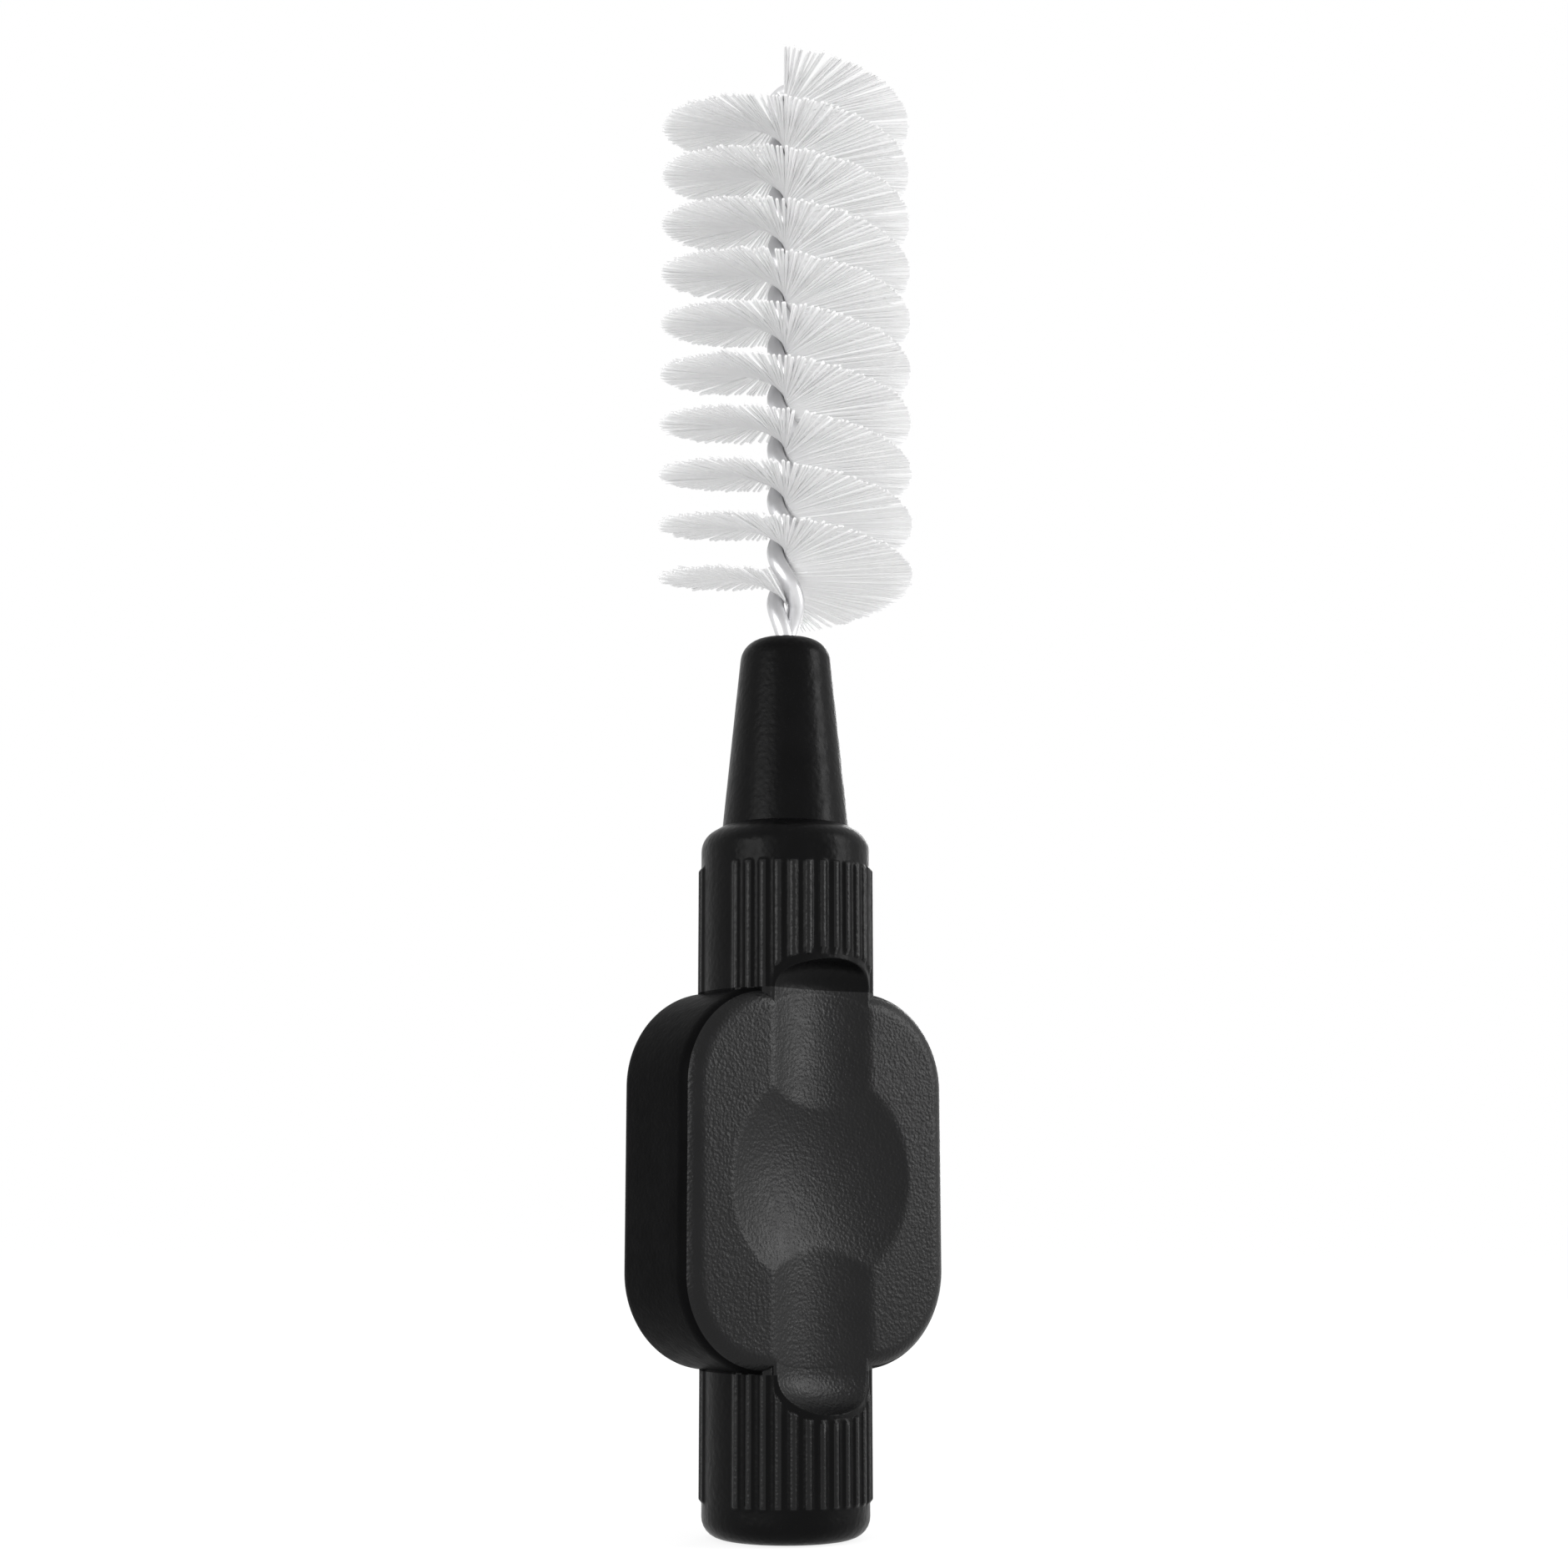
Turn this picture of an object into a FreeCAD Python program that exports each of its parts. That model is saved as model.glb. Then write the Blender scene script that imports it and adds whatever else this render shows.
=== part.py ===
"""Interdental brush: a moulded handle with a thumb paddle, a twisted wire and its filaments.

Millimetres. +Z runs up the brush and the origin is the middle of the tail's flat end.
The paddle is wide along X, and its two dished thumb faces look along -Y and +Y.
"""
import FreeCAD
import Part
import math
import os

Vector = FreeCAD.Vector
UP = Vector(0, 0, 1)
ORIGIN = Vector(0, 0, 0)

# Handle, in the order in which it is met going up from the tail
tail_radius = 2.55
tail_rounding = 0.62
tail_band = 1.0
tail_length = 4.9
paddle_height = 11.45
paddle_width = 9.7
paddle_thickness = 3.95
paddle_corner = 2.95
paddle_chamfer = 0.42
dish_radius = 3.27
dish_depth = 0.5
channel_width = 3.6
channel_depth = 0.3
lower_scoop_radius = 1.2
upper_scoop_radius = 0.85
collar_radius = 2.66
collar_length = 3.95
collar_band = 1.3
shoulder_slope_deg = 30
shoulder_rounding = 0.7
nose_base_radius = 2.0
nose_tip_radius = 1.38
nose_height = 6.1
nose_rounding = 0.75

# Grip ribs, which leave a smooth land on the mould's parting line at each side
rib_height = 0.09
rib_foot_share = 0.75
rib_crest_share = 0.3
ribs_per_turn = 36
ribs_per_side = 15

# Wire: one length folded in half at the tip and twisted, with its straight feet moulded into the nose
strand_radius = 0.28
strand_sides = 8
twist_pitch = 3.45
wire_depth = 7.7
bare_neck = 1.29
neck_twist_share = 0.71
fit_gap = 0.01

# Filaments, held crosswise in single file between the two strands
brush_length = 17.17
filament_length = 8.3
filament_across = 0.08
filament_gap = 0.007
tier_count = 10
first_filament_deg = -125

overrun = 1.0

# Levels along Z
paddle_top = tail_length + paddle_height
paddle_middle = tail_length + paddle_height / 2
collar_rib_top = paddle_top + collar_length
nose_base = collar_rib_top + collar_band
nose_tip = nose_base + nose_height
brush_bottom = nose_tip + bare_neck
brush_top = brush_bottom + brush_length

# Strands: far enough from the axis to let one filament through
strand_offset = strand_radius + filament_across / 2 + fit_gap
quarter_rise = twist_pitch / 4
helix_top = brush_top + filament_across
helix_bottom = brush_bottom - filament_across
wire_foot = nose_tip - wire_depth


def unit(vector):
    return vector * (1 / vector.Length)


def around_axis(radius, angle_deg, level):
    """Point at a radius and an angle about the brush's axis."""
    angle = math.radians(angle_deg)
    return Vector(radius * math.cos(angle), radius * math.sin(angle), level)


def rounded_outline(corners):
    """Closed wire through corners, each a point and the radius that rounds it."""
    turns = []
    for index, (point, radius) in enumerate(corners):
        back = unit(corners[index - 1][0] - point)
        ahead = unit(corners[(index + 1) % len(corners)][0] - point)
        half = back.getAngle(ahead) / 2
        reach = radius / math.tan(half)
        sagitta = radius / math.sin(half) - radius
        turns.append((point + back * reach, point + unit(back + ahead) * sagitta, point + ahead * reach))
    edges = []
    for index, (start, middle, end) in enumerate(turns):
        edges.append(Part.makeLine(turns[index - 1][2], start))
        if corners[index][1]:
            edges.append(Part.Arc(start, middle, end).toShape())
    return Part.Wire(edges)


def turned(corners):
    """Solid of revolution about Z from corners given as radius, level and rounding."""
    outline = rounded_outline([(Vector(radius, 0, level), rounding) for radius, level, rounding in corners])
    return Part.Face(outline).revolve(ORIGIN, UP, 360)


def tail_end():
    return turned([
        (0, 0, 0),
        (tail_radius, 0, tail_rounding),
        (tail_radius, tail_band, 0),
        (0, tail_band, 0),
    ])


def collar_and_nose():
    shoulder_drop = (collar_radius - nose_base_radius) * math.tan(math.radians(shoulder_slope_deg))
    return turned([
        (0, collar_rib_top, 0),
        (collar_radius, collar_rib_top, 0),
        (collar_radius, nose_base - shoulder_drop, shoulder_rounding),
        (nose_base_radius, nose_base, 0),
        (nose_tip_radius, nose_tip, nose_rounding),
        (0, nose_tip, 0),
    ])


def ribbed_barrel(radius, bottom, top):
    """Round bar with grip ribs along its front and back."""
    rib_step = 360 / ribs_per_turn
    half_foot = rib_step * rib_foot_share / 2
    half_crest = rib_step * rib_crest_share / 2
    fan = [(index - (ribs_per_side - 1) / 2) * rib_step for index in range(ribs_per_side)]
    centres = [facing + angle for facing in (-90, 90) for angle in fan]
    edges = []
    for centre, following in zip(centres, centres[1:] + [centres[0] + 360]):
        start = around_axis(radius, centre - half_foot, bottom)
        rise = around_axis(radius + rib_height, centre - half_crest, bottom)
        fall = around_axis(radius + rib_height, centre + half_crest, bottom)
        end = around_axis(radius, centre + half_foot, bottom)
        valley = around_axis(radius, (centre + following) / 2, bottom)
        next_start = around_axis(radius, following - half_foot, bottom)
        edges += Part.makePolygon([start, rise, fall, end]).Edges
        edges.append(Part.Arc(end, valley, next_start).toShape())
    return Part.Face(Part.Wire(edges)).extrude(UP * (top - bottom))


def paddle():
    """Rounded plate with its edges broken round both faces."""
    half_width = paddle_width / 2
    half_thickness = paddle_thickness / 2
    corners = [
        (Vector(-half_width, -half_thickness, tail_length), paddle_corner),
        (Vector(half_width, -half_thickness, tail_length), paddle_corner),
        (Vector(half_width, -half_thickness, paddle_top), paddle_corner),
        (Vector(-half_width, -half_thickness, paddle_top), paddle_corner),
    ]
    plate = Part.Face(rounded_outline(corners)).extrude(Vector(0, paddle_thickness, 0))
    rims = [edge for edge in plate.Edges if abs(edge.tangentAt(edge.FirstParameter).y) < 0.5]
    return plate.makeChamfer(paddle_chamfer, rims)


def scoop(side):
    """Cutter that carries a paddle face on into the barrel and out again on an arc at each end."""
    face = side * paddle_thickness / 2
    left = -collar_radius - overrun

    def on_arc(start, radius, rise, angle_deg):
        angle = math.radians(angle_deg)
        depth = face + side * radius * (1 - math.cos(angle))
        return Vector(left, depth, start + rise * radius * math.sin(angle))

    high = [on_arc(paddle_top, upper_scoop_radius, 1, angle) for angle in (0, 45, 90)]
    low = [on_arc(tail_length, lower_scoop_radius, -1, angle) for angle in (90, 45, 0)]
    outline = Part.Wire([
        Part.makeLine(low[2], high[0]),
        Part.Arc(*high).toShape(),
        Part.makeLine(high[2], low[0]),
        Part.Arc(*low).toShape(),
    ])
    return Part.Face(outline).extrude(Vector(-2 * left, 0, 0))


def channel():
    """Cutter for the thumb channel down the front: hollow across, and turning out at each end as the scoop does."""
    half_width = channel_width / 2
    face = paddle_thickness / 2
    floor = face - channel_depth
    barrel_radius = max(tail_radius, collar_radius) + rib_height
    outside = barrel_radius + overrun

    def section(depth, level):
        left = Vector(-half_width, -face, level)
        right = Vector(half_width, -face, level)
        hollow = Part.Arc(left, Vector(0, -floor, level), right).toShape()
        lip = [right, Vector(half_width, -depth, level), Vector(-half_width, -depth, level), left]
        return Part.Face(Part.Wire([hollow] + Part.makePolygon(lip).Edges))

    def end(level, radius, turn_deg):
        hinge = Vector(0, -floor - radius, level)
        start = section(floor + radius, level)
        bend = start.revolve(hinge, Vector(1, 0, 0), turn_deg)
        flat = start.rotated(hinge, Vector(1, 0, 0), turn_deg)
        return [bend, flat.extrude(Vector(0, floor + radius - outside, 0))]

    run = section(outside, tail_length).extrude(UP * paddle_height)
    return run.fuse(end(tail_length, lower_scoop_radius, -90) + end(paddle_top, upper_scoop_radius, 90))


def dish(side):
    """Ball that leaves the round hollow for thumb or finger in a paddle face."""
    ball_radius = (dish_radius ** 2 + dish_depth ** 2) / (2 * dish_depth)
    centre = paddle_thickness / 2 - dish_depth + ball_radius
    return Part.makeSphere(ball_radius, Vector(0, side * centre, paddle_middle))


def filament_angle(level):
    """Direction of the filaments at a level, in degrees; the twist is left-handed."""
    return first_filament_deg + 360 * (brush_top - level) / twist_pitch


def helix_station(level):
    """Point and direction of the first strand at a level."""
    angle_deg = filament_angle(level) + 90
    climb = twist_pitch / (2 * math.pi)
    direction = around_axis(strand_offset, angle_deg - 90, climb)
    return around_axis(strand_offset, angle_deg, level), unit(direction)


def foot_angle():
    """Direction of the first strand in the nose, after the neck has eased the twist out of it."""
    eased_deg = 360 * (helix_bottom - nose_tip) / twist_pitch * neck_twist_share
    return filament_angle(helix_bottom) + 90 + eased_deg


def strand_stations():
    """Points and directions up the first strand: straight foot, easing neck, twist."""
    straight = [(around_axis(strand_offset, foot_angle(), level), UP) for level in (wire_foot, nose_tip)]
    quarters = math.ceil((helix_top - helix_bottom) / quarter_rise)
    levels = [helix_bottom + index * quarter_rise for index in range(quarters)]
    return straight + [helix_station(level) for level in levels + [helix_top]]


def arc_along(start, direction, end):
    """Arc that leaves start in the given direction and reaches end, or a line where that is straight."""
    chord = end - start
    bend = direction.getAngle(chord)
    if math.degrees(bend) < 0.001:
        return Part.makeLine(start, end)
    across = unit(direction - chord * (direction.dot(chord) / chord.Length ** 2))
    middle = (start + end) * 0.5 + across * (chord.Length / 2 * math.tan(bend / 2))
    return Part.Arc(start, middle, end).toShape()


def biarc(start, end):
    """Two tangent arcs from one station to the next."""
    (first, leaving), (last, arriving) = start, end
    span = last - first
    both = leaving + arriving
    spread = 2 * (1 - leaving.dot(arriving))
    along = span.dot(both)
    reach = span.dot(span) / (along + math.sqrt(along ** 2 + spread * span.dot(span)))
    near = first + leaving * reach
    far = last - arriving * reach
    joint = (near + far) * 0.5
    return [arc_along(first, leaving, joint), arc_along(joint, unit(far - near), last)]


def path_through(stations):
    edges = []
    for start, end in zip(stations, stations[1:]):
        if start[1].getAngle(end[1]) == 0 and start[1] == UP:
            edges.append(Part.makeLine(start[0], end[0]))
        else:
            edges += biarc(start, end)
    return Part.Wire(edges)


def strand(stations):
    """Wire along a path that starts straight up."""
    foot = stations[0][0]
    step = 360 / strand_sides
    ring = [foot + around_axis(strand_radius, step * index, 0) for index in range(strand_sides)]
    section = Part.makePolygon(ring + ring[:1])
    return path_through(stations).makePipeShell([section], True, False)


def half_turn(stations):
    """The same stations on the other strand, half a turn round."""
    return [(Vector(-point.x, -point.y, point.z), Vector(-way.x, -way.y, way.z)) for point, way in stations]


def crown_station(top):
    """Where the fold crosses the axis, on the one arc that leaves the strand along its twist."""
    point, way = top
    level = point.z + strand_offset
    chord = unit(Vector(0, 0, level) - point)
    return Vector(0, 0, level), chord * (2 * way.dot(chord)) - way


def core_wire():
    rising = strand_stations()
    falling = [(point, way * -1) for point, way in reversed(half_turn(rising))]
    return strand(rising + [crown_station(rising[-1])] + falling)


def foot_bore(angle_deg):
    """Room for one foot of the wire."""
    bottom = around_axis(strand_offset, angle_deg, wire_foot)
    return Part.makeCylinder(strand_radius + fit_gap, wire_depth + overrun, bottom)


def handle():
    """One moulding: tail, paddle, collar and nose."""
    barrel = ribbed_barrel(tail_radius, tail_band, paddle_middle)
    barrel = barrel.fuse(ribbed_barrel(collar_radius, paddle_middle, collar_rib_top))
    for side in (-1, 1):
        barrel = barrel.cut(scoop(side))
    body = barrel.fuse([tail_end(), collar_and_nose(), paddle()])
    body = body.cut(channel()).cut(channel().rotated(ORIGIN, UP, 180))
    for side in (-1, 1):
        body = body.cut(dish(side))
    for angle_deg in (foot_angle(), foot_angle() + 180):
        body = body.cut(foot_bore(angle_deg))
    return body.removeSplitter().Solids[0]


def filament(level):
    """One filament: a straight thread through the axis, drawn with four flats."""
    angle_deg = filament_angle(level)
    along = around_axis(filament_length, angle_deg, 0)
    across = around_axis(filament_across / 2, angle_deg + 90, 0)
    rise = UP * (filament_across / 2)
    start = UP * level - along * 0.5
    ring = [start - across - rise, start + across - rise, start + across + rise, start - across + rise]
    return Part.Face(Part.makePolygon(ring + ring[:1])).extrude(along)


def filament_tiers():
    """Filaments from the tip down, shared out over the tiers."""
    count = int(brush_length / (filament_across + filament_gap)) + 1
    step = brush_length / (count - 1)
    tiers = [[] for _ in range(tier_count)]
    for index in range(count):
        tiers[index * tier_count // count].append(filament(brush_top - index * step))
    return tiers


def least_gap_between_strands():
    """Smallest free width between the two strands, measured on points along them."""
    rising = strand_stations()
    here = path_through(rising).discretize(400)
    there = path_through(half_turn(rising)).discretize(400)
    return min((a - b).Length for a in here for b in there) - 2 * strand_radius


def main():
    os.makedirs("parts", exist_ok=True)
    nodes = {"handle": handle(), "core_wire": core_wire()}
    for index, threads in enumerate(filament_tiers()):
        nodes[f"filament_tier_{index + 1:02d}"] = Part.makeCompound(threads)
    for name, shape in nodes.items():
        shape.exportStep(f"parts/{name}.step")
        print(name, len(shape.Solids), "solid(s)", round(shape.Volume, 3), "mm3, valid", shape.isValid())
    print("least gap between the strands", round(least_gap_between_strands(), 3), "mm")


main()
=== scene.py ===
# %% [markdown]
# # An interdental brush
# A brush of this kind is three things: a black moulded handle, a steel wire that is folded and twisted, and
# several hundred white filaments that the twist holds crosswise. The frame that is loaded here gives their
# places and sizes. This lesson rebuilds each piece with finer surfaces in the same place, gives it a finish
# made of shader nodes, and lights it as a small product on white.

# %% Load the frame
import bpy
import math
import numpy as np
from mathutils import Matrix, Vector


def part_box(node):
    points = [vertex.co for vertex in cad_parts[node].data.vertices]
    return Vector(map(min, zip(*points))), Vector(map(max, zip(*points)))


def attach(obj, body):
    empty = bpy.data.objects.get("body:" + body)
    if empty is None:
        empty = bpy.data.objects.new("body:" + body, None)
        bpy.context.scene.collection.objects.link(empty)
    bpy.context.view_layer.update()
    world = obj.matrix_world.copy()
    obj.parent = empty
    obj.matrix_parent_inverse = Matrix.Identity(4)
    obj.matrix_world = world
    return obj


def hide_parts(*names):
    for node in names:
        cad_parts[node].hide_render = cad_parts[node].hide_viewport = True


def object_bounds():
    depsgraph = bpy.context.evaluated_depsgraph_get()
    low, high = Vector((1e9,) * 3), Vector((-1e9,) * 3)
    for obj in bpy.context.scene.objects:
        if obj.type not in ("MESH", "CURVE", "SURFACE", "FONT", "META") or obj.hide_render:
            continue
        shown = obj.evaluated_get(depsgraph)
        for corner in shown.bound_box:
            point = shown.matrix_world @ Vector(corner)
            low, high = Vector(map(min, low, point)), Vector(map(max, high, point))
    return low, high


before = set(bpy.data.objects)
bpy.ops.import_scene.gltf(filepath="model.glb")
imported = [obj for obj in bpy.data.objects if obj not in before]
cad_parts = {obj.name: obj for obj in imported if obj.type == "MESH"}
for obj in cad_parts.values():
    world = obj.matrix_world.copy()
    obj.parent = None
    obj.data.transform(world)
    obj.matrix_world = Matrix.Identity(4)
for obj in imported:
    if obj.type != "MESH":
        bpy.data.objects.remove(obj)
cad_low, cad_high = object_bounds()
MM = 0.001
print("frame", [round(side / MM, 2) for side in cad_high - cad_low], "mm")

# %% [markdown]
# ## Measures
# The frame knows the outer sizes of every node, so those are read from it. The sizes inside an outline,
# such as a rounding or the depth of a dish, are written here once, in millimetres, in the order in which
# they are met going up the handle.

# %% Sizes of the handle
handle_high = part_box("handle")[1] / MM
paddle_half_width = handle_high.x
nose_tip = handle_high.z

tail_radius = 2.55
tail_rounding = 0.62
tail_band = 1.0
tail_length = 4.9
paddle_top = 16.35
paddle_half_thickness = 1.975
paddle_corner = 2.95
paddle_rounding = 0.62
dish_radius = 3.27
dish_depth = 0.5
channel_half_width = 1.8
channel_depth = 0.3
lower_scoop_radius = 1.2
upper_scoop_radius = 0.82
collar_radius = 2.66
collar_rib_top = 20.3
nose_base = 21.6
nose_base_radius = 2.0
nose_tip_radius = 1.38
nose_rounding = 0.75
shoulder_slope = math.tan(math.radians(30))
shoulder_rounding = 0.7
paddle_middle = (tail_length + paddle_top) / 2
paddle_half_height = (paddle_top - tail_length) / 2
print("paddle", round(2 * paddle_half_width, 2), "x", round(2 * paddle_half_height, 2), "mm")

# %% Sizes of the wire and the brush
solid_thread_half = 0.04
wire_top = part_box("core_wire")[1].z / MM
brush_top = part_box("filament_tier_01")[1].z / MM - solid_thread_half
brush_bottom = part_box("filament_tier_10")[0].z / MM + solid_thread_half
brush_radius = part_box("filament_tier_05")[1].x / MM
strand_radius = 0.28
strand_offset = 0.33
twist_pitch = 3.45
first_filament_deg = -125
print("brush", round(brush_bottom, 2), "to", round(brush_top, 2), "mm, radius", round(brush_radius, 2))

# %% [markdown]
# ## Camera
# The photograph looks at the handle's left front edge, level with the paddle and tilted up, from close by.
# That shows the filaments a little from below. A camera can be aimed with a Track To constraint, but two
# plain angles are easier to compare with a picture, so the camera stands on a circle round the axis and is
# turned.

# %% Place the camera
scene = bpy.context.scene
scene.view_settings.view_transform = "Standard"
camera_turn = math.radians(-35)
camera_aim_nudge = math.radians(0.04)
camera_tilt = math.radians(10.14)
camera_distance = 74.5 * MM
camera_height = 9.7 * MM

camera_data = bpy.data.cameras.new("camera")
camera_data.sensor_width = 36
camera_data.lens = 54.63
camera_data.clip_start = MM
camera = bpy.data.objects.new("camera", camera_data)
camera.location = (
    camera_distance * math.sin(camera_turn),
    -camera_distance * math.cos(camera_turn),
    camera_height,
)
camera.rotation_euler = (math.radians(90) + camera_tilt, 0, camera_turn + camera_aim_nudge)
scene.collection.objects.link(camera)
scene.camera = camera
print("camera at", [round(value / MM, 1) for value in camera.location], "mm")

# %% [markdown]
# ## White surroundings
# A catalogue picture is white all round, yet light of that strength from every side would leave little shape
# to the piece. The world therefore has two strengths: it is plain white to the eye, in reflections and
# through glass, and dimmer as a source of light. The Light Path node tells the two apart.

# %% World
def seen_directly(tree):
    """Socket that is 1 for rays from the eye, a reflection or a transmission, and 0 for other light."""
    path = tree.nodes.new("ShaderNodeLightPath")
    total = path.outputs["Is Camera Ray"]
    for name in ("Is Glossy Ray", "Is Transmission Ray"):
        add = tree.nodes.new("ShaderNodeMath")
        add.operation = "ADD"
        add.use_clamp = True
        tree.links.new(total, add.inputs[0])
        tree.links.new(path.outputs[name], add.inputs[1])
        total = add.outputs[0]
    return total


world_light = 0.57
world = bpy.data.worlds.new("studio")
world.use_nodes = True
scene.world = world
sky = world.node_tree
sky.nodes.clear()
sky_out = sky.nodes.new("ShaderNodeOutputWorld")
sky_mix = sky.nodes.new("ShaderNodeMixShader")
sky.links.new(seen_directly(sky), sky_mix.inputs[0])
for index, strength in ((1, world_light), (2, 1.0)):
    background = sky.nodes.new("ShaderNodeBackground")
    background.inputs["Color"].default_value = (1, 1, 1, 1)
    background.inputs["Strength"].default_value = strength
    sky.links.new(background.outputs[0], sky_mix.inputs[index])
sky.links.new(sky_mix.outputs[0], sky_out.inputs["Surface"])
print("world lights at", world_light)

# %% [markdown]
# ## Lamps
# Black plastic shows little more than what it mirrors, so its lamps are placed by mirroring. Lamps could
# also be spread evenly, but then every face would mirror the same white and look flat. A tall narrow box
# stands to the right, where the flat of the paddle mirrors it towards the camera and the right wall of the
# dish mirrors less of it. A wide one at the left draws lines on the ribs and the nose, and a weak one
# behind lights the back.

# %% Soft boxes
def soft_box(name, bearing_deg, height, distance, width, tall, power):
    """Area lamp aimed at the middle of the object; the bearing is counted from the paddle's front."""
    bearing = math.radians(bearing_deg)
    lamp = bpy.data.lights.new(name, "AREA")
    lamp.shape = "RECTANGLE"
    lamp.size = width
    lamp.size_y = tall
    lamp.energy = power
    holder = bpy.data.objects.new(name, lamp)
    holder.location = (distance * math.sin(bearing), -distance * math.cos(bearing), height)
    middle = (cad_low + cad_high) / 2
    holder.rotation_euler = (middle - holder.location).to_track_quat("-Z", "Y").to_euler()
    scene.collection.objects.link(holder)
    print(name, "at bearing", bearing_deg)


soft_box("key", bearing_deg=48, height=0.072, distance=0.17, width=0.042, tall=0.125, power=0.17)
soft_box("fill", bearing_deg=-80, height=0.055, distance=0.2, width=0.13, tall=0.08, power=0.2)
soft_box("rim", bearing_deg=130, height=0.06, distance=0.2, width=0.05, tall=0.09, power=0.09)

# %% [markdown]
# ## Floor
# The floor is a wide disc under the tail. It is white to the eye, like the world, but a share of its own
# shading is kept, so that the object still drops a soft shadow on it. The two shares add up to white far
# from the lamps, where the floor meets the world, so no horizon shows.

# %% Floor
floor_radius = 1.5
floor_gap = 0.02 * MM
floor_sides = 96
floor_white_share = 0.7
paper_white = 0.93
floor_mesh = bpy.data.meshes.new("floor")
floor_edge = [(floor_radius * math.cos(turn), floor_radius * math.sin(turn), -floor_gap)
              for turn in np.linspace(0, 2 * math.pi, floor_sides, endpoint=False)]
floor_mesh.from_pydata(floor_edge, [], [range(floor_sides)])
floor = bpy.data.objects.new("floor", floor_mesh)
scene.collection.objects.link(floor)

paper = bpy.data.materials.new("white_paper")
paper.use_nodes = True
paper_tree = paper.node_tree
paper_shader = paper_tree.nodes["Principled BSDF"]
paper_shader.inputs["Base Color"].default_value = (paper_white, paper_white, paper_white, 1)
paper_shader.inputs["Roughness"].default_value = 0.9
paper_shader.inputs["Specular IOR Level"].default_value = 0.0
paper_glow = paper_tree.nodes.new("ShaderNodeEmission")
shaded_part = (1 - floor_white_share) * paper_white * world_light
paper_glow.inputs["Strength"].default_value = (1 - shaded_part) / floor_white_share
paper_share = paper_tree.nodes.new("ShaderNodeMath")
paper_share.operation = "MULTIPLY"
paper_share.inputs[1].default_value = floor_white_share
paper_mix = paper_tree.nodes.new("ShaderNodeMixShader")
paper_tree.links.new(seen_directly(paper_tree), paper_share.inputs[0])
paper_tree.links.new(paper_share.outputs[0], paper_mix.inputs[0])
paper_tree.links.new(paper_shader.outputs[0], paper_mix.inputs[1])
paper_tree.links.new(paper_glow.outputs[0], paper_mix.inputs[2])
paper_tree.links.new(paper_mix.outputs[0], paper_tree.nodes["Material Output"].inputs["Surface"])
floor_mesh.materials.append(paper)
print("floor", 2 * floor_radius, "m across")

# %% [markdown]
# ## Shared effects
# Two effects return in several finishes, so each is a node group with named sockets. `moulded_grain` is the
# fine pebbled skin that a spark-eroded mould leaves: rounded cells broken up by noise. `cloudiness` is the
# slow unevenness that keeps any real surface from looking like flat paint. Both read object coordinates, in
# metres, so their scales are cells per metre.

# %% Node group helper
def effect_group(name, inputs, outputs):
    """Empty shader node group with float sockets, and its input and output nodes."""
    group = bpy.data.node_groups.new(name, "ShaderNodeTree")
    for socket, value in inputs:
        made = group.interface.new_socket(socket, in_out="INPUT", socket_type="NodeSocketFloat")
        made.default_value = value
    for socket in outputs:
        group.interface.new_socket(socket, in_out="OUTPUT", socket_type="NodeSocketFloat")
    return group, group.nodes.new("NodeGroupInput"), group.nodes.new("NodeGroupOutput")


def math_node(tree, operation, first, second):
    """Math node between two sockets or numbers."""
    node = tree.nodes.new("ShaderNodeMath")
    node.operation = operation
    for socket, value in zip(node.inputs, (first, second)):
        if isinstance(value, (int, float)):
            socket.default_value = value
        else:
            tree.links.new(value, socket)
    return node.outputs[0]


# %% Moulded grain
grain, grain_in, grain_out = effect_group("moulded_grain", [("Cells", 9000.0), ("Breakup", 0.5)], ["Height"])
grain_place = grain.nodes.new("ShaderNodeTexCoord")
pebbles = grain.nodes.new("ShaderNodeTexVoronoi")
pebbles.feature = "SMOOTH_F1"
breakup = grain.nodes.new("ShaderNodeTexNoise")
breakup.inputs["Detail"].default_value = 3.0
for texture in (pebbles, breakup):
    grain.links.new(grain_place.outputs["Object"], texture.inputs["Vector"])
    grain.links.new(grain_in.outputs["Cells"], texture.inputs["Scale"])
rough_part = math_node(grain, "MULTIPLY", breakup.outputs["Fac"], grain_in.outputs["Breakup"])
grain_height = math_node(grain, "SUBTRACT", rough_part, pebbles.outputs["Distance"])
grain.links.new(grain_height, grain_out.inputs["Height"])
print("group", grain.name)

# %% Cloudiness
cloud, cloud_in, cloud_out = effect_group(
    "cloudiness", [("Clouds", 600.0), ("Middle", 0.5), ("Swing", 0.1)], ["Value"])
cloud_place = cloud.nodes.new("ShaderNodeTexCoord")
clouds = cloud.nodes.new("ShaderNodeTexNoise")
clouds.inputs["Detail"].default_value = 4.0
cloud.links.new(cloud_place.outputs["Object"], clouds.inputs["Vector"])
cloud.links.new(cloud_in.outputs["Clouds"], clouds.inputs["Scale"])
centred = math_node(cloud, "SUBTRACT", clouds.outputs["Fac"], 0.5)
swung = math_node(cloud, "MULTIPLY", centred, cloud_in.outputs["Swing"])
cloud.links.new(math_node(cloud, "ADD", swung, cloud_in.outputs["Middle"]), cloud_out.inputs["Value"])
print("group", cloud.name)
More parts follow.
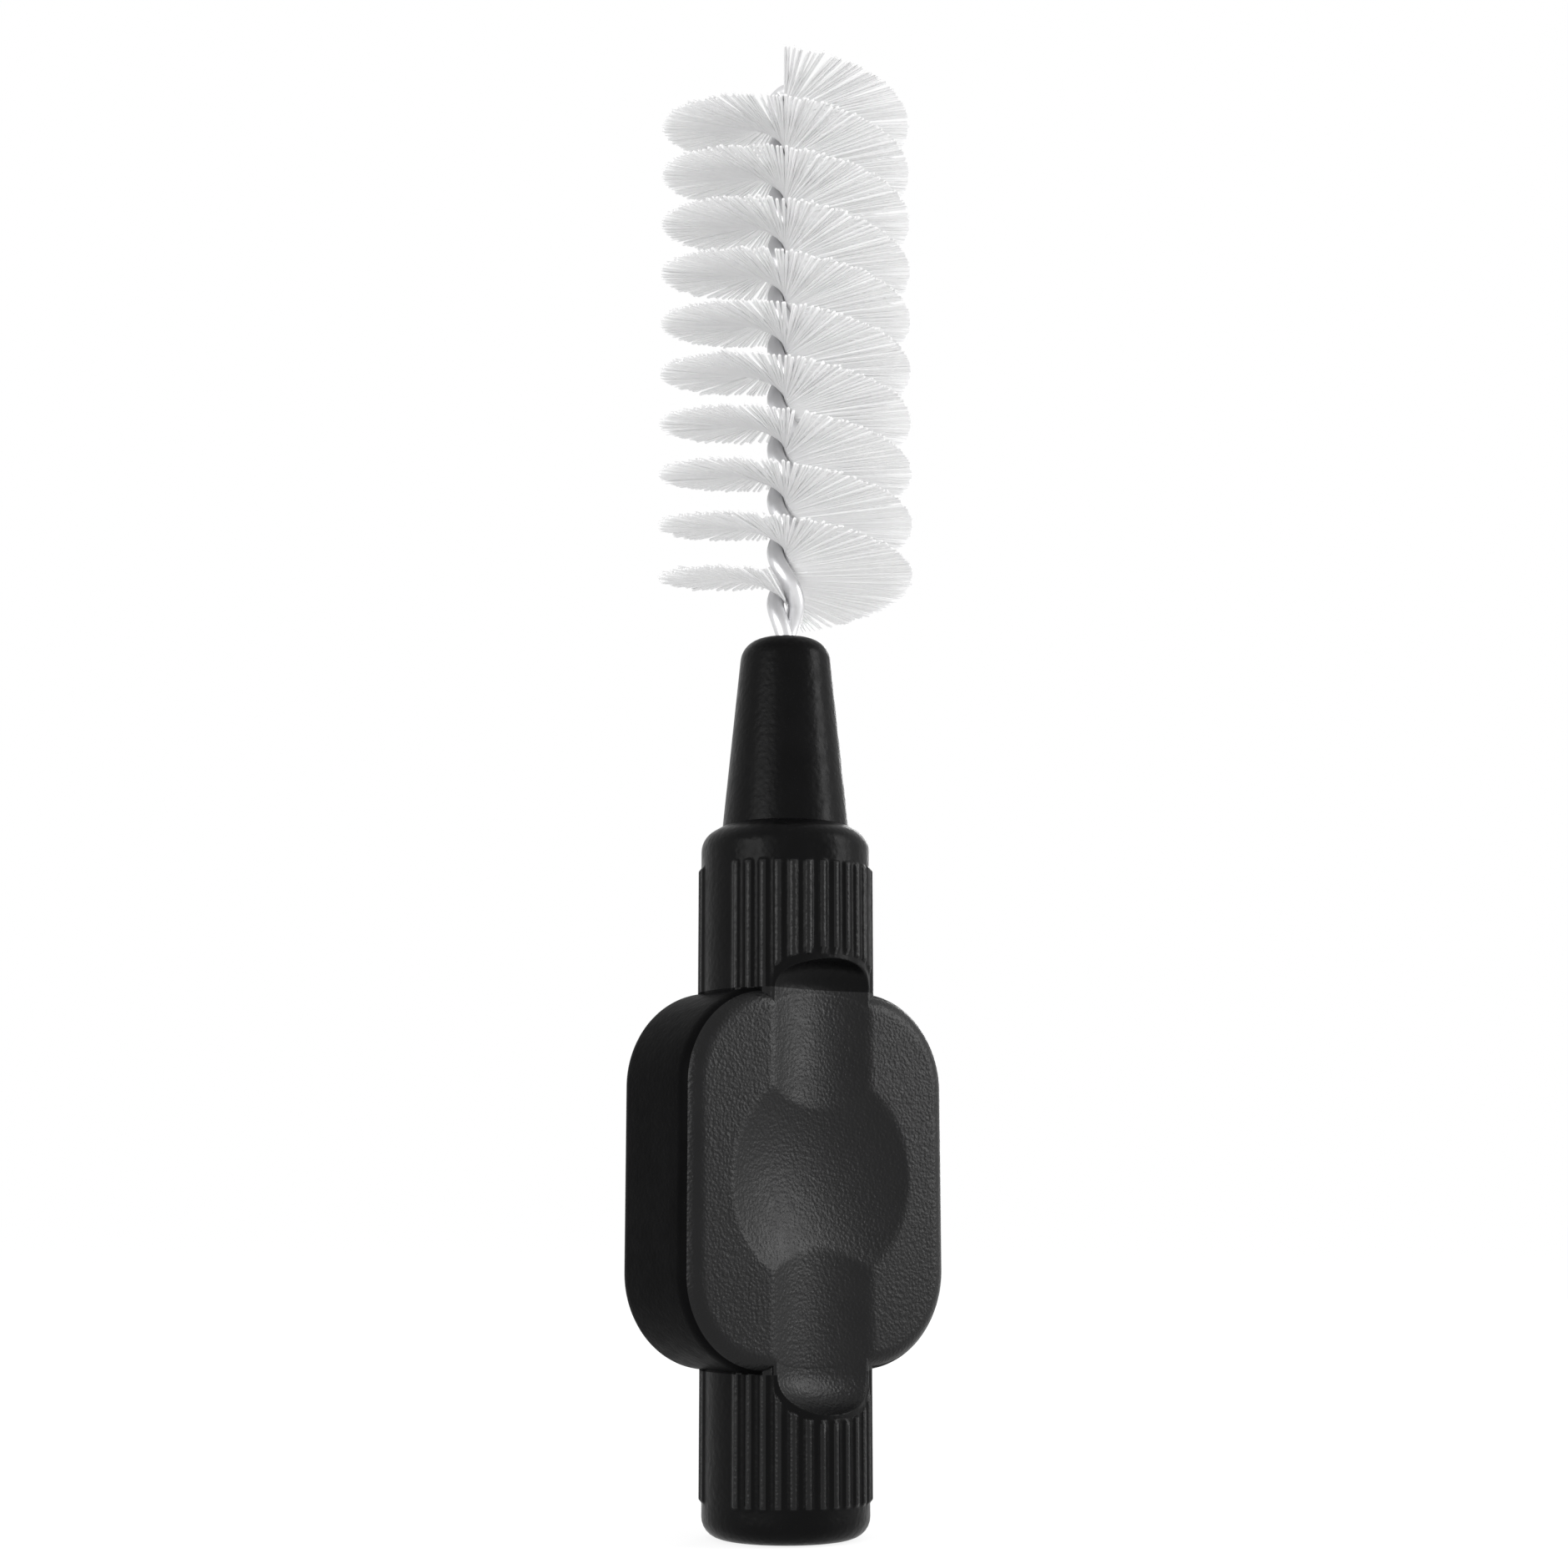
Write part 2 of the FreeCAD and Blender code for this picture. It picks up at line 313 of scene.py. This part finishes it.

# %% [markdown]
# ## Finishes
# Every finish is a Principled shader. The two groups feed its roughness, its colour and a Bump node;
# whatever is the same all over is set on the shader itself. The handle has three finishes of one plastic:
# grained on the thumb faces, where the fingers hold it, and on the ribs' crests as a painted highlight over
# the darker valleys; a less reflective copy round the paddle's edge, as painted shade; nearly smooth
# elsewhere.

# %% Finish helper
def placed(tree, group, **values):
    """Node that places an effect group in a material."""
    node = tree.nodes.new("ShaderNodeGroup")
    node.node_tree = group
    for name, value in values.items():
        node.inputs[name].default_value = value
    return node


def finish(name, dark, light, roughness, roughness_swing, cells, relief, **constants):
    """Principled material with cloudy colour and roughness and a grain of the given relief in metres."""
    material = bpy.data.materials.new(name)
    material.use_nodes = True
    tree = material.node_tree
    shader = tree.nodes["Principled BSDF"]
    for socket, value in constants.items():
        shader.inputs[socket.replace("_", " ")].default_value = value

    tone = tree.nodes.new("ShaderNodeMix")
    tone.data_type = "RGBA"
    tone.inputs["A"].default_value = (*dark, 1)
    tone.inputs["B"].default_value = (*light, 1)
    patches = placed(tree, cloud, Clouds=900.0, Middle=0.5, Swing=2.0)
    tree.links.new(patches.outputs["Value"], tone.inputs["Factor"])
    tree.links.new(tone.outputs["Result"], shader.inputs["Base Color"])

    gloss = placed(tree, cloud, Clouds=2500.0, Middle=roughness, Swing=roughness_swing)
    tree.links.new(gloss.outputs["Value"], shader.inputs["Roughness"])

    bump = tree.nodes.new("ShaderNodeBump")
    bump.inputs["Distance"].default_value = relief
    tree.links.new(placed(tree, grain, Cells=cells, Breakup=1.0).outputs["Height"], bump.inputs["Height"])
    tree.links.new(bump.outputs["Normal"], shader.inputs["Normal"])
    print("finish", name)
    return material


# %% Five finishes
# The grained finish is the real grain of the thumb faces; on the ribs' crests it is a painted highlight.
grain_and_crest_highlight_plastic = finish(
    "grain_and_crest_highlight_black_plastic", dark=(0.0025, 0.0025, 0.0027), light=(0.0045, 0.0045, 0.0047), roughness=0.36,
    roughness_swing=0.2, cells=11000.0, relief=0.012 * MM, Specular_IOR_Level=0.2)
smooth_plastic = finish(
    "smooth_black_plastic", dark=(0.0015, 0.0015, 0.0016), light=(0.003, 0.003, 0.0032), roughness=0.34,
    roughness_swing=0.3, cells=6000.0, relief=0.008 * MM, Specular_IOR_Level=0.07)
# A less reflective copy of the smooth plastic, which paints shade on the paddle's edge.
painted_shade_edge_plastic = finish(
    "painted_shade_edge_black_plastic", dark=(0.0015, 0.0015, 0.0016), light=(0.003, 0.003, 0.0032), roughness=0.5,
    roughness_swing=0.2, cells=8000.0, relief=0.006 * MM, Specular_IOR_Level=0.02)
drawn_steel = finish(
    "drawn_steel_wire", dark=(0.62, 0.62, 0.63), light=(0.72, 0.72, 0.73), roughness=0.38,
    roughness_swing=0.2, cells=7000.0, relief=0.003 * MM, Metallic=1.0)
white_nylon = finish(
    "white_nylon_thread", dark=(0.9, 0.9, 0.905), light=(0.94, 0.94, 0.94), roughness=0.4,
    roughness_swing=0.2, cells=6000.0, relief=0.002 * MM)

# %% [markdown]
# ## Handle
# The real handle is one moulding whose forms run into each other: a ribbed barrel, a plate across it, a
# thumb channel down the middle of the plate and a round dish. Booleans would leave hard creases where a
# mould has small roundings. Here both forms are nets of points instead. The barrel is a loft whose radius
# carries the ribs, the plate is a stack of rings, and each point is then lowered to the channel or the dish
# with a smooth minimum, which rounds the creases between them. One union at the end joins the two nets into
# a closed skin. The blends below are in millimetres; the last value is the sine of the steepest slope that a
# scoop may reach.

# %% Helpers for heights
crease_blend = 0.06
face_blend = 0.025
steepest = 0.97


def smooth_min(first, second, blend=crease_blend):
    """Lower of two heights, rounded over where they cross."""
    near = np.maximum(blend - np.abs(first - second), 0) / blend
    return np.minimum(first, second) - near * near * blend / 4


def smooth_step(value, low, high):
    """0 below low, 1 above high, with an even rise between."""
    share = np.clip((value - low) / (high - low), 0, 1)
    return share * share * (3 - 2 * share)


def beyond_paddle(level):
    """How far a level lies past the paddle's end, and the radius of the scoop at that end."""
    below = tail_length - level
    above = level - paddle_top
    past = np.maximum(np.maximum(below, above), 0)
    return past, np.where(below > 0, lower_scoop_radius, upper_scoop_radius)


def turned_out(past, radius):
    """Rise of a quarter round that starts level, carried on straight where it would get too steep."""
    bend = np.minimum(past, steepest * radius)
    slope = steepest / math.sqrt(1 - steepest ** 2)
    return radius - np.sqrt(radius ** 2 - bend ** 2) + slope * (past - bend)


def channel_height(across, level):
    """Distance of the thumb channel's floor from the middle plane, turning out past the paddle's ends."""
    ball = (channel_half_width ** 2 + channel_depth ** 2) / (2 * channel_depth)
    floor_height = paddle_half_thickness - channel_depth
    rise = ball - np.sqrt(ball ** 2 - across ** 2)
    past, radius = beyond_paddle(level)
    return floor_height + rise + turned_out(past, radius - rise)


def scoop_height(level):
    """Distance of the paddle's flat face from the middle plane, carried on into the barrel."""
    past, radius = beyond_paddle(level)
    return paddle_half_thickness + turned_out(past, radius)


def scooped_height(across, level):
    """Distance of the lower of the two from the middle plane."""
    return np.minimum(channel_height(across, level), scoop_height(level))


def dish_height(across, level):
    """Distance of the dish's floor from the middle plane."""
    ball = (dish_radius ** 2 + dish_depth ** 2) / (2 * dish_depth)
    away = across ** 2 + (level - paddle_middle) ** 2
    return paddle_half_thickness - dish_depth + ball - np.sqrt(ball ** 2 - away)


print("channel floor", channel_height(np.array(0.0), np.array(paddle_middle)), "mm from the middle plane")

# %% Helper for nets
def net_of_rings(name, rings, first_tip, last_tip):
    """Closed mesh object through rings with equal numbers of points, ending in a point at each end."""
    count = len(rings[0])
    points = np.concatenate([[first_tip], *rings, [last_tip]]) * MM
    ahead = np.roll(np.arange(count), -1)
    faces = [(0, 1 + b, 1 + a) for a, b in enumerate(ahead)]
    for index in range(len(rings) - 1):
        low = 1 + index * count
        high = low + count
        faces += [(low + a, low + b, high + b, high + a) for a, b in enumerate(ahead)]
    last_ring = 1 + (len(rings) - 1) * count
    last = len(points) - 1
    faces += [(last_ring + a, last_ring + b, last) for a, b in enumerate(ahead)]
    mesh = bpy.data.meshes.new(name)
    mesh.from_pydata(points.tolist(), [], faces)
    mesh.update()
    net = bpy.data.objects.new(name, mesh)
    scene.collection.objects.link(net)
    return net


# %% [markdown]
# The barrel's outline is a short list of corners, each with the radius that rounds it, as a turner would
# draw it. A Spin of that outline would give plain round walls, so the rings are made by a formula that can
# add ribs. The ribs stand on the front and back only, and leave a smooth land at each side where the mould
# parts. Levels lie close together where the ribs end and where the scoops run out, and wide apart
# elsewhere.

# %% Barrel outline
def rounded_corner(before, corner, after, radius, steps=8):
    """Points on the arc that rounds a corner between two neighbours."""
    before, corner, after = (np.array(point, dtype=float) for point in (before, corner, after))
    back = (before - corner) / np.linalg.norm(before - corner)
    onward = (after - corner) / np.linalg.norm(after - corner)
    half = math.acos(np.clip(back @ onward, -1, 1)) / 2
    middle = corner + (back + onward) / np.linalg.norm(back + onward) * radius / math.sin(half)
    start = corner + back * radius / math.tan(half) - middle
    end = corner + onward * radius / math.tan(half) - middle
    sweep = math.pi - 2 * half
    return [middle + (math.sin(sweep * (1 - share)) * start + math.sin(sweep * share) * end) / math.sin(sweep)
            for share in np.linspace(0, 1, steps)]


shoulder = nose_base - (collar_radius - nose_base_radius) * shoulder_slope
tail_arc = rounded_corner((0, 0), (tail_radius, 0), (tail_radius, tail_band), tail_rounding)
shoulder_arc = rounded_corner(
    (collar_radius, collar_rib_top), (collar_radius, shoulder), (nose_base_radius, nose_base),
    shoulder_rounding)
nose_arc = rounded_corner(
    (nose_base_radius, nose_base), (nose_tip_radius, nose_tip), (0, nose_tip), nose_rounding, steps=12)

scoop_step = 0.02
rib_lead = 0.04
near_step = 0.1
wide_step = 0.2
plate_overlap = 0.55
tongue_end = tail_length - lower_scoop_radius
arch_end = paddle_top + upper_scoop_radius
tail_levels = np.concatenate([
    np.linspace(tail_rounding + near_step, tail_band - 2 * rib_lead, 3),
    np.linspace(tail_band - rib_lead, tail_band + wide_step, 7),
    np.linspace(tail_band + 2 * wide_step, tongue_end - wide_step, 6),
    np.arange(tongue_end - near_step, tail_length + plate_overlap + scoop_step, scoop_step),
    [tail_length + 2 * plate_overlap],
])
collar_levels = np.concatenate([
    [paddle_top - 2 * plate_overlap],
    np.arange(paddle_top - plate_overlap, arch_end + wide_step, scoop_step),
    np.linspace(arch_end + 2 * wide_step, collar_rib_top - wide_step - near_step, 6),
    np.linspace(collar_rib_top - wide_step, collar_rib_top + rib_lead, 7),
])
print("barrel with", len(tail_levels), "levels in the tail and", len(collar_levels), "in the collar")

# %% Outline from tail to nose
tail_flat_share = 1.6
nose_taper_shares = np.linspace(0.04, 0.8, 8)
nose_cap_radius = 0.3
nose_taper = nose_tip_radius - nose_base_radius
nose_length = nose_tip - nose_base
outline = (
    [(tail_radius - tail_rounding * tail_flat_share, 0)] + tail_arc
    + [(tail_radius, level) for level in tail_levels]
    + [(collar_radius, level) for level in collar_levels]
    + shoulder_arc + [(nose_base_radius, nose_base)]
    + [(nose_base_radius + nose_taper * share, nose_base + nose_length * share)
       for share in nose_taper_shares]
    + nose_arc + [(nose_cap_radius, nose_tip)]
)
outline = np.array([tuple(point) for point in outline])
print("barrel outline with", len(outline), "levels")

# %% Ribs and barrel
rib_height = 0.09
rib_step_deg = 10
ribs_per_side = 15
rib_foot_share = 0.78
rib_end = 0.14
rib_margin = 0.2
rib_side_margin = 0.16
rib_sharpness = 1.3
points_per_rib = 10
sink = 0.75
sink_slope = 0.03
sink_drop = 2


def rib_profile(turn_deg):
    """Height share of the ribs round the barrel."""
    from_facing = np.abs(np.abs((turn_deg + 180) % 360 - 180) - 90)
    place = from_facing / rib_step_deg
    from_rib = np.abs(place - np.round(place))
    ridge = np.cos(np.clip(from_rib / (rib_foot_share / 2), 0, 1) * math.pi / 2) ** rib_sharpness
    return np.where(np.round(place) <= ribs_per_side // 2, ridge, 0)


def barrel_net():
    """Barrel with ribs that fade out before a scoop, sunk below the plate's faces where the two overlap."""
    turns = np.arange(0, 360, rib_step_deg / points_per_rib)
    turn = np.radians(turns)[None, :]
    radius = outline[:, :1]
    level = outline[:, 1:]
    along = smooth_step(level, tail_band, tail_band + rib_end)
    along = along * smooth_step(-level, -collar_rib_top, -collar_rib_top + rib_end)
    across = radius * np.cos(turn)
    plain_depth = np.abs(radius * np.sin(turn))
    nearer = level + rib_margin * np.sign(paddle_middle - level)
    clear = smooth_step(scooped_height(across, nearer) - plain_depth, 0.0, rib_side_margin)
    ribbed = radius + rib_height * rib_profile(turns)[None, :] * along * clear
    across = ribbed * np.cos(turn)
    depth = np.abs(ribbed * np.sin(turn))
    inside = np.maximum(np.minimum(level - tail_length, paddle_top - level), 0)
    lowered = np.minimum(sink_slope * inside + sink_drop * np.maximum(inside - plate_overlap, 0), sink)
    depth = smooth_min(depth, scooped_height(across, level) - lowered)
    rings = np.stack([across, np.sign(np.sin(turn)) * depth, level + 0 * turn], axis=2)
    return net_of_rings("barrel", list(rings), (0, 0, 0), (0, 0, nose_tip))


barrel = barrel_net()
print("barrel", len(barrel.data.polygons), "faces")

# %% [markdown]
# The plate is where the thumb and finger hold the brush. A bevelled block would have its own net of faces,
# too coarse for the dish, so the plate is built from its outline inwards. Rings that keep their distance
# from the edge carry the rounding; further in they shrink towards the middle. Front and back are alike, so
# the same rings serve both, mirrored, and the net is closed over the edge.

# %% Paddle
corner_steps = 44
side_steps = 30
edge_shares = np.linspace(0.2, 1.0, 3)
rounding_steps = 12
flat_steps = 30
inner_steps = 56
inset_limit = 2.3


def paddle_ring(inset):
    """Outline of the paddle moved inwards, as points across X and along Z."""
    corner = paddle_corner - inset
    half_x = paddle_half_width - paddle_corner
    half_z = paddle_half_height - paddle_corner
    corners = [(half_x, half_z), (-half_x, half_z), (-half_x, -half_z), (half_x, -half_z)]
    points = []
    for index, (x, z) in enumerate(corners):
        bend = np.radians(90 * index + np.linspace(0, 90, corner_steps, endpoint=False))
        points.append(np.stack([x + corner * np.cos(bend), z + corner * np.sin(bend)], axis=1))
        facing = np.radians(90 * index + 90)
        edge = corner * np.array([np.cos(facing), np.sin(facing)])
        share = np.linspace(0, 1, side_steps, endpoint=False)[:, None]
        here = np.array([x, z])
        following = np.array(corners[(index + 1) % 4])
        points.append(here + edge + share * (following - here))
    return np.concatenate(points)


def face_height(ring, flat_height):
    """Height of the thumb face over a ring, lowered to the channel and the dish."""
    across = ring[:, 0]
    level = ring[:, 1] + paddle_middle
    inner = np.clip(level, tail_length, paddle_top)
    height = smooth_min(flat_height, channel_height(across, inner))
    return smooth_min(height, dish_height(across, level), face_blend)


def front_rings():
    """Rings of the front half, from the edge to the middle, with heights above the middle plane."""
    edge_heights = edge_shares * (paddle_half_thickness - paddle_rounding)
    rings = [(paddle_ring(0), np.array(height)) for height in edge_heights]
    for bend in np.radians(np.linspace(0, 90, rounding_steps + 1))[1:]:
        inset = paddle_rounding * (1 - math.cos(bend))
        height = paddle_half_thickness - paddle_rounding * (1 - math.sin(bend))
        rings.append((paddle_ring(inset), np.array(height)))
    for inset in np.linspace(paddle_rounding, inset_limit, flat_steps)[1:]:
        rings.append((paddle_ring(inset), np.array(paddle_half_thickness)))
    inmost = paddle_ring(inset_limit)
    for share in np.linspace(1, 0, inner_steps)[1:-1]:
        rings.append((inmost * share, np.array(paddle_half_thickness)))
    return [(ring, face_height(ring, height)) for ring, height in rings]


def paddle_net():
    """Plate from the middle of one face over the edge to the middle of the other."""
    halves = []
    for side in (-1, 1):
        halves.append([
            np.stack([ring[:, 0], side * height + 0 * ring[:, 0], ring[:, 1] + paddle_middle], axis=1)
            for ring, height in front_rings()
        ])
    middle_height = float(dish_height(np.array(0.0), np.array(paddle_middle)))
    rings = halves[0][::-1] + halves[1]
    front_middle = (0, -middle_height, paddle_middle)
    back_middle = (0, middle_height, paddle_middle)
    return net_of_rings("paddle", rings, front_middle, back_middle)


paddle = paddle_net()
print("paddle", len(paddle.data.polygons), "faces")

# %% [markdown]
# Barrel and plate come out of the mould as one, so the two nets become one skin. Left as two meshes they
# would show an inner wall when the model is cut or printed. A Boolean modifier with the Manifold solver is
# quick on closed nets, and its result is kept as a plain mesh. The finishes are then given face by face:
# the thumb faces and the tongue below them are grained; a rib's crest takes the grained finish too, as a
# painted highlight; the rest of the plate takes a less reflective copy, as painted shade; all else is smooth.

# %% Join the two nets
def united(name, first, second):
    """New object with the union of two closed meshes, which are then removed."""
    join = first.modifiers.new("union", "BOOLEAN")
    join.operation = "UNION"
    join.solver = "MANIFOLD"
    join.object = second
    ready = first.evaluated_get(bpy.context.evaluated_depsgraph_get())
    result = bpy.data.objects.new(name, bpy.data.meshes.new_from_object(ready))
    result.data.name = name
    scene.collection.objects.link(result)
    for used in (first, second):
        bpy.data.objects.remove(used)
    return result


handle = united("moulded_handle", barrel, paddle)
print("handle", len(handle.data.polygons), "faces")

# %% Finish the handle face by face
grain_turn = math.cos(math.radians(50))
crease_turn = math.radians(38)
tongue_overrun = 0.1
tongue_inset = 0.03
# Faces above this share of the rib height take the grained finish as a painted crest highlight.
painted_highlight_crest_share = 0.45
handle_finishes = [smooth_plastic, grain_and_crest_highlight_plastic, painted_shade_edge_plastic]


def handle_finish(centre, normal):
    """Finish of a face of the handle, from its place in millimetres and the way it faces."""
    past = max(tail_length - centre.z, centre.z - paddle_top)
    from_axis = math.hypot(centre.x, centre.y)
    if past < 0:
        # Round the paddle's edge a less reflective copy of the plastic paints shade on the side walls.
        return grain_and_crest_highlight_plastic if abs(normal.y) > grain_turn else painted_shade_edge_plastic
    below = tail_length - centre.z
    in_tongue = 0 <= below < lower_scoop_radius + tongue_overrun and from_axis < tail_radius - tongue_inset
    foot_radius = tail_radius if centre.z < paddle_middle else collar_radius
    # A rib's crest takes the lighter, glossier grained finish: a painted highlight, with the darker valleys
    # as painted shade.
    crest_painted_highlight = from_axis > foot_radius + painted_highlight_crest_share * rib_height
    return grain_and_crest_highlight_plastic if in_tongue or crest_painted_highlight else smooth_plastic


handle.data.materials.clear()
for plastic in handle_finishes:
    handle.data.materials.append(plastic)
for face in handle.data.polygons:
    face.use_smooth = True
    face.material_index = handle_finishes.index(handle_finish(face.center / MM, face.normal))
handle.data.set_sharp_from_angle(angle=crease_turn)
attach(handle, "root")
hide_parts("handle")
grain_and_highlight_index = handle_finishes.index(grain_and_crest_highlight_plastic)
grain_and_highlight_count = sum(face.material_index == grain_and_highlight_index for face in handle.data.polygons)
print("handle with", grain_and_highlight_count, "grained faces")

# %% [markdown]
# ## Wire
# The wire is one length, bent back on itself at the tip, whose two strands wind round each other. A
# bevelled curve would do, but a swept tube of our own keeps the strands' distance exact: a path of points,
# and a ring of points round each. The neck between nose and brush takes some of the twist out, so that the
# strands enter the nose where the frame's wire does.

# %% Path of the wire
degrees_per_mm = 360 / twist_pitch
twist_overrun = 0.08
twist_top = brush_top + twist_overrun
neck_twist_share = 0.71
neck_offset = 0.29
wire_root = 1.2
neck_step = 0.06
steps_per_turn = 48
crown_steps = 25


def filament_deg(level):
    """Bearing of the filaments at a level; the twist is left-handed."""
    return first_filament_deg + degrees_per_mm * (brush_top - level)


def strand_deg(level):
    """Bearing of the first strand, with the twist easing off down the neck."""
    if level >= brush_bottom:
        return filament_deg(level) + 90
    neck = brush_bottom - nose_tip
    down = min(brush_bottom - level, neck)
    eased = down - (1 - neck_twist_share) * down ** 2 / neck
    return filament_deg(brush_bottom) + 90 + degrees_per_mm * eased


def strand_distance(level):
    """Distance of a strand's middle from the axis: closer together where no filament lies between."""
    share = float(smooth_step(np.array(level), nose_tip, brush_bottom))
    return neck_offset + (strand_offset - neck_offset) * share


def wire_path():
    """Points up one strand, over the fold at the tip and down the other."""
    levels = np.concatenate([
        np.arange(nose_tip - wire_root, brush_bottom, neck_step),
        np.arange(brush_bottom, twist_top, twist_pitch / steps_per_turn),
    ])
    rising = [(strand_distance(level), strand_deg(level), level) for level in levels]
    crown_height = wire_top - strand_radius - twist_top
    crown_start = strand_deg(twist_top)
    crown = [
        (strand_offset * math.cos(turn), crown_start - degrees_per_mm * strand_offset * math.sin(turn),
         twist_top + crown_height * math.sin(turn))
        for turn in np.radians(np.linspace(0, 180, crown_steps))
    ]
    falling = [(-distance, bearing, level) for distance, bearing, level in reversed(rising)]
    places = rising + crown + falling
    points = []
    for distance, bearing_deg, level in places:
        bearing = math.radians(bearing_deg)
        points.append(Vector((distance * math.cos(bearing), distance * math.sin(bearing), level)))
    return points


wire_line = wire_path()
wire_length = sum((after - before).length for before, after in zip(wire_line, wire_line[1:]))
print("wire", round(wire_length, 1), "mm long in", len(wire_line), "points")

# %% Sweep a tube along it
wire_sides = 20


def swept_tube(name, path, radius, sides):
    """Round tube along a path, its rings turned as little as possible from one to the next."""
    normal = Vector((1, 0, 0))
    tangent = (path[1] - path[0]).normalized()
    rings = []
    for index, point in enumerate(path):
        ahead = path[min(index + 1, len(path) - 1)] - path[max(index - 1, 0)]
        normal = tangent.rotation_difference(ahead.normalized()) @ normal
        tangent = ahead.normalized()
        normal = (normal - tangent * normal.dot(tangent)).normalized()
        side = tangent.cross(normal)
        turns = np.linspace(0, 2 * math.pi, sides, endpoint=False)
        ring = [point + radius * (math.cos(turn) * normal + math.sin(turn) * side) for turn in turns]
        rings.append(np.array(ring))
    return net_of_rings(name, rings, path[0], path[-1])


wire = swept_tube("twisted_wire", wire_line, strand_radius, wire_sides)
wire.data.shade_smooth()
wire.data.materials.append(drawn_steel)
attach(wire, "root")
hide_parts("core_wire")
print("wire", len(wire.data.polygons), "faces")

# %% [markdown]
# ## Filaments
# A filament is a straight nylon thread that passes through the axis, so it shows at both sides. Wound by
# the wire, the threads make two leaves of one screw surface. Hair particles could draw them, but they would
# not export as meshes. Each thread is a thin six-sided rod with bevelled ends, a very slight bow and a
# hair's breadth of disorder from a seeded generator, and ten pieces share them out from the tip down.

# %% Number and size of the threads
threads_per_half_turn = 88
thread_count = round((brush_top - brush_bottom) / (twist_pitch / 2) * threads_per_half_turn)
thread_radius = 0.05
thread_sides = 6
thread_shares = (-1.0, -0.6, 0.0, 0.6, 1.0)
end_reach_share = 0.7
end_ring_share = 0.6
print(thread_count, "threads,", 2 * thread_radius, "mm thick")

# %% Threads
bearing_disorder_deg = 0.5
tilt_disorder = 0.006
length_disorder = 0.025
bow_disorder = 0.02
chance = np.random.default_rng(seed=7)


def thread_rings(level):
    """Rings and tips of one thread at a level."""
    bearing = math.radians(filament_deg(level) + chance.normal(0, bearing_disorder_deg))
    out = np.array([math.cos(bearing), math.sin(bearing), chance.normal(0, tilt_disorder)])
    side = np.array([-math.sin(bearing), math.cos(bearing), 0])
    half = brush_radius - abs(chance.normal(0, length_disorder)) - thread_radius
    bow = chance.normal(0, bow_disorder, 2)
    turns = np.linspace(0, 2 * math.pi, thread_sides, endpoint=False)[:, None]
    ring = thread_radius * (np.cos(turns) * side + np.sin(turns) * np.array([0, 0, 1]))
    middle = np.array([0, 0, level])

    def station(share):
        sway = side * bow[0] + np.array([0, 0, 1]) * bow[1]
        return middle + out * half * share + sway * share * share

    first_end, last_end = (
        station(share) + out * thread_radius * end_reach_share * share + ring * end_ring_share
        for share in (-1.0, 1.0)
    )
    rings = [first_end] + [station(share) + ring for share in thread_shares] + [last_end]
    tips = [station(share) + out * thread_radius * share for share in (-1.0, 1.0)]
    return rings, tips


def tier_net(name, levels):
    """One mesh with all threads of a tier."""
    points = []
    faces = []
    ahead = np.roll(np.arange(thread_sides), -1)
    for level in levels:
        rings, tips = thread_rings(level)
        base = len(points)
        for ring in rings:
            points += ring.tolist()
        points += [tip.tolist() for tip in tips]
        first_tip = base + thread_sides * len(rings)
        last_ring = first_tip - thread_sides
        for a, b in enumerate(ahead):
            faces.append((first_tip, base + b, base + a))
            faces.append((first_tip + 1, last_ring + a, last_ring + b))
            for index in range(len(rings) - 1):
                low = base + index * thread_sides
                faces.append((low + a, low + b, low + thread_sides + b, low + thread_sides + a))
    mesh = bpy.data.meshes.new(name)
    mesh.from_pydata((np.array(points) * MM).tolist(), [], faces)
    mesh.shade_smooth()
    tier = bpy.data.objects.new(name, mesh)
    scene.collection.objects.link(tier)
    return tier


# %% Ten tiers
tier_count = 10
all_levels = np.linspace(brush_top, brush_bottom, thread_count)
tier_of_thread = np.arange(thread_count) * tier_count // thread_count
for number in range(tier_count):
    tier = tier_net(f"filaments_{number + 1:02d}", all_levels[tier_of_thread == number])
    tier.data.materials.append(white_nylon)
    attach(tier, "root")
    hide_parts(f"filament_tier_{number + 1:02d}")
print(thread_count, "threads in", tier_count, "tiers")
